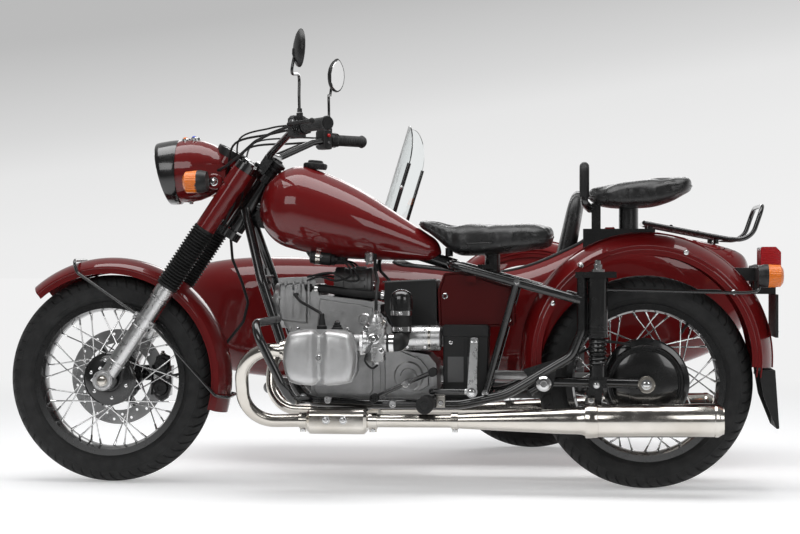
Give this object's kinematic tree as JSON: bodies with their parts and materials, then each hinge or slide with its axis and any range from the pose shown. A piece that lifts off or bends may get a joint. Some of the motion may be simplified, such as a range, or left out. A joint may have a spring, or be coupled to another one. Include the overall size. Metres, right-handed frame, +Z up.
{
  "type": "sidecar motorcycle",
  "caption": "Red flat-twin motorcycle with a passenger sidecar on its right: laced wheels, sprung saddles, leaning fork, open cockpit with windscreen, hinged trunk lid and luggage rack.",
  "frame": {"origin": "on the ground under the middle of the whole machine's box", "axes": "+X forward, +Y to the rider's left, +Z up; the sidecar is on the -Y side"},
  "size_m": [2.434, 1.6886, 1.3822],
  "materials": {
    "paint_red": "gloss clear-coated deep red paint",
    "paint_dark_red": "gloss dark red paint",
    "paint_black": "gloss black enamel",
    "cast_aluminium": "satin cast aluminium",
    "dark_metal": "dark grey painted casting",
    "stainless": "polished stainless steel",
    "rubber_black": "matt black rubber",
    "tyre_black": "road tyre rubber",
    "plastic_black": "black plastic",
    "leather_black": "black leather",
    "lens_amber": "amber lens on a black base",
    "lens_red": "red lens",
    "screen_clear": "clear sheet",
    "mirror_black": "black shell with a silvered face"
  },
  "bodies": {
    "chassis": {"frame_top": "paint_black", "frame_cradle": "paint_black", "engine_case": "cast_aluminium", "cylinders": "cast_aluminium", "valve_covers": "cast_aluminium", "gearbox": "cast_aluminium", "alternator": "dark_metal", "carburettors": "cast_aluminium", "air_box": "plastic_black", "air_filters": "cast_aluminium", "intake_elbows": "rubber_black", "battery": "plastic_black", "side_panels": "paint_dark_red", "fuel_tank": "paint_red", "tank_cap": "plastic_black", "rider_saddle": "leather_black", "pillion_saddle": "leather_black", "saddle_brackets": "paint_black", "rear_mudguard": "paint_red", "tail_lamp": "lens_red", "tail_bracket": "plastic_black", "rear_indicators": "lens_amber", "swingarm": "paint_black", "rear_shocks": "paint_black", "final_drive": "cast_aluminium", "exhaust_left": "stainless", "exhaust_right": "stainless", "crash_bars": "paint_black", "foot_controls": "paint_black", "horn": "plastic_black", "sidecar_frame": "paint_black", "sidecar_hull": "paint_red", "sidecar_seat": "leather_black", "sidecar_windscreen": "screen_clear", "sidecar_screen_posts": "paint_black", "sidecar_suspension": "paint_black", "sidecar_mudguard": "paint_red", "sidecar_lamp": "lens_amber"},
    "steering": {"fork_yokes": "paint_black", "fork_sliders": "cast_aluminium", "fork_gaiters": "rubber_black", "fork_shrouds": "paint_red", "handlebar": "paint_black", "hand_controls": "rubber_black", "mirrors": "mirror_black", "headlamp_shell": "paint_red", "headlamp_rim": "paint_black", "front_indicators": "lens_amber", "front_mudguard": "paint_red", "front_stays": "paint_black", "front_caliper": "paint_black", "control_cables": "rubber_black"},
    "front_wheel": {"front_wheel": "paint_black", "front_tyre": "tyre_black"},
    "rear_wheel": {"rear_wheel": "paint_black", "rear_tyre": "tyre_black"},
    "sidecar_wheel": {"sidecar_wheel": "paint_black", "sidecar_tyre": "tyre_black"},
    "trunk_lid": {"trunk_lid": "paint_red", "luggage_rack": "paint_black"}
  },
  "joints": [
    {"name": "steering_head", "type": "hinge", "parent": "chassis", "child": "steering", "pos_m": [0.44782, 0.37268, 0.87477], "axis": [-0.5592, 0, 0.829], "range_deg": [-30, 30]},
    {"name": "front_wheel_spin", "type": "hinge", "parent": "steering", "child": "front_wheel", "pos_m": [0.889, 0.37268, 0.328], "axis": [0, 1, 0], "continuous": true},
    {"name": "rear_wheel_spin", "type": "hinge", "parent": "chassis", "child": "rear_wheel", "pos_m": [-0.791, 0.37268, 0.328], "axis": [0, 1, 0], "continuous": true},
    {"name": "sidecar_wheel_spin", "type": "hinge", "parent": "chassis", "child": "sidecar_wheel", "pos_m": [-0.411, -0.75732, 0.328], "axis": [0, 1, 0], "continuous": true},
    {"name": "trunk_hinge", "type": "hinge", "parent": "chassis", "child": "trunk_lid", "pos_m": [-0.705, -0.33932, 0.81153], "axis": [0, 1, 0], "range_deg": [0, 75]}
  ]
}
